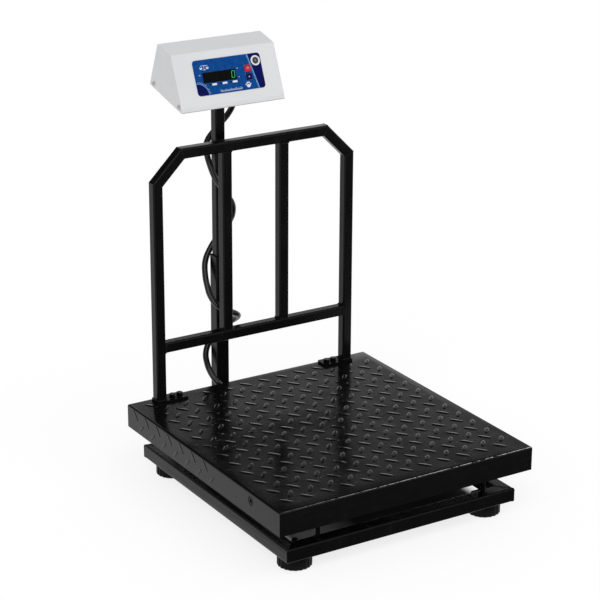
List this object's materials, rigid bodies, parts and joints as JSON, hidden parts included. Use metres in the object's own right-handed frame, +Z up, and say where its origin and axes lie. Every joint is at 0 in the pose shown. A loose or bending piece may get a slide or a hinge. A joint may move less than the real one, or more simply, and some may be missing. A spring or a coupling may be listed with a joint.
{
  "type": "animal weighing scale",
  "caption": "Floor scale for animals: chequered platform with a guard rail on a load-cell base with levelling feet, and a digital indicator on a telescopic mast",
  "frame": {"origin": "on the floor, in the middle of the whole object's width and depth", "axes": "+X to the right seen from the front, +Y from the front towards the mast at the back, +Z up"},
  "size_m": [0.5028, 0.606, 0.7544],
  "materials": {
    "frame_black": "satin black powder coat",
    "plate_black": "gloss black paint over chequer plate",
    "foot_black": "moulded black nylon",
    "pad_rubber": "matt black rubber",
    "cell_aluminium": "clear anodised",
    "screw_zinc": "bright zinc plate",
    "screw_black": "black oxide",
    "head_white": "fine white powder coat",
    "screw_nickel": "nickel plate",
    "overlay_blue": null,
    "window_dark": "smoked acrylic",
    "inner_black": "black moulding",
    "board_green": "green solder resist",
    "battery_grey": "grey battery case",
    "transformer_steel": "varnished laminations",
    "key_red": "moulded key",
    "key_blue": "moulded key",
    "seal_silver": "turned aluminium",
    "black_plastic": "moulded black plastic",
    "cable_black": "smooth black PVC sheath"
  },
  "bodies": {
    "base": {"base_left_rail": "frame_black", "base_right_rail": "frame_black", "base_front_rail": "frame_black", "base_rear_rail": "frame_black", "base_cell_cross": "frame_black", "base_rear_cross": "frame_black", "corner_gussets": "frame_black", "load_cell": "cell_aluminium", "cell_screws_lower": "screw_zinc", "overload_stops": "screw_black", "mast_socket": "frame_black", "mast_bolts": "screw_zinc", "lower_mast": "frame_black", "clamp_screws": "screw_zinc", "cable": "cable_black"},
    "foot_pad_fl": {"foot_pad_fl": "pad_rubber"},
    "foot_knob_fl": {"foot_knob_fl": "foot_black"},
    "foot_pad_fr": {"foot_pad_fr": "pad_rubber"},
    "foot_knob_fr": {"foot_knob_fr": "foot_black"},
    "foot_pad_rl": {"foot_pad_rl": "pad_rubber"},
    "foot_knob_rl": {"foot_knob_rl": "foot_black"},
    "foot_pad_rr": {"foot_pad_rr": "pad_rubber"},
    "foot_knob_rr": {"foot_knob_rr": "foot_black"},
    "platform": {"live_left_rail": "frame_black", "live_right_rail": "frame_black", "live_front_rail": "frame_black", "live_rear_rail": "frame_black", "live_cross": "frame_black", "cell_screws_upper": "screw_zinc", "platform_tray": "plate_black", "side_screws": "screw_black", "guard_left_post": "frame_black", "guard_right_post": "frame_black", "guard_left_corner": "frame_black", "guard_right_corner": "frame_black", "guard_top_rail": "frame_black", "guard_bottom_rail": "frame_black", "guard_left_bar": "frame_black", "guard_right_bar": "frame_black", "guard_left_foot": "frame_black", "guard_right_foot": "frame_black", "guard_bolts": "screw_black"},
    "head": {"upper_mast": "frame_black", "head_bracket": "frame_black", "housing_base": "head_white", "housing_cover": "head_white", "head_screws": "screw_nickel", "overlay_panel": "overlay_blue", "display_window": "window_dark", "display_module": "inner_black", "circuit_board": "board_green", "battery": "battery_grey", "transformer": "transformer_steel", "seal_plug": "seal_silver", "mains_inlet": "black_plastic", "power_switch": "black_plastic", "cable_gland": "black_plastic"},
    "key_red": {"key_red": "key_red"},
    "key_blue": {"key_blue": "key_blue"},
    "power_rocker": {"power_rocker": "black_plastic"}
  },
  "joints": [
    {"name": "foot_fl_height", "type": "slide", "parent": "base", "child": "foot_pad_fl", "axis": [0, 0, -1], "range_m": [0, 0.012]},
    {"name": "foot_fl_turn", "type": "hinge", "parent": "foot_pad_fl", "child": "foot_knob_fl", "pos_m": [-0.19, -0.251, 0], "axis": [0, 0, -1], "range_deg": [0, 2880]},
    {"name": "foot_fr_height", "type": "slide", "parent": "base", "child": "foot_pad_fr", "axis": [0, 0, -1], "range_m": [0, 0.012]},
    {"name": "foot_fr_turn", "type": "hinge", "parent": "foot_pad_fr", "child": "foot_knob_fr", "pos_m": [0.19, -0.251, 0], "axis": [0, 0, -1], "range_deg": [0, 2880]},
    {"name": "foot_rl_height", "type": "slide", "parent": "base", "child": "foot_pad_rl", "axis": [0, 0, -1], "range_m": [0, 0.012]},
    {"name": "foot_rl_turn", "type": "hinge", "parent": "foot_pad_rl", "child": "foot_knob_rl", "pos_m": [-0.19, 0.165, 0], "axis": [0, 0, -1], "range_deg": [0, 2880]},
    {"name": "foot_rr_height", "type": "slide", "parent": "base", "child": "foot_pad_rr", "axis": [0, 0, -1], "range_m": [0, 0.012]},
    {"name": "foot_rr_turn", "type": "hinge", "parent": "foot_pad_rr", "child": "foot_knob_rr", "pos_m": [0.19, 0.165, 0], "axis": [0, 0, -1], "range_deg": [0, 2880]},
    {"name": "platform_give", "type": "slide", "parent": "base", "child": "platform", "axis": [0, 0, -1], "range_m": [0, 0.0006], "stiffness_N_per_m": 1000000, "springref_m": -0.00014, "deforming": ["load_cell"]},
    {"name": "mast_height", "type": "slide", "parent": "base", "child": "head", "axis": [0, 0, 1], "range_m": [-0.045, 0.04], "deforming": ["cable"]},
    {"name": "key_red_press", "type": "slide", "parent": "head", "child": "key_red", "axis": [0, 0.9197, -0.3926], "range_m": [0, 0.0004], "stiffness_N_per_m": 1500},
    {"name": "key_blue_press", "type": "slide", "parent": "head", "child": "key_blue", "axis": [0, 0.9197, -0.3926], "range_m": [0, 0.0004], "stiffness_N_per_m": 1500},
    {"name": "power_rocker_tilt", "type": "hinge", "parent": "head", "child": "power_rocker", "pos_m": [-0.091, 0.28795, 0.70998], "axis": [1, 0, 0], "range_deg": [0, 20]}
  ],
  "couplings": [
    {"joint": "foot_fl_height", "follows": "foot_fl_turn", "m_per_rad": 0.00023873},
    {"joint": "foot_fr_height", "follows": "foot_fr_turn", "m_per_rad": 0.00023873},
    {"joint": "foot_rl_height", "follows": "foot_rl_turn", "m_per_rad": 0.00023873},
    {"joint": "foot_rr_height", "follows": "foot_rr_turn", "m_per_rad": 0.00023873}
  ]
}
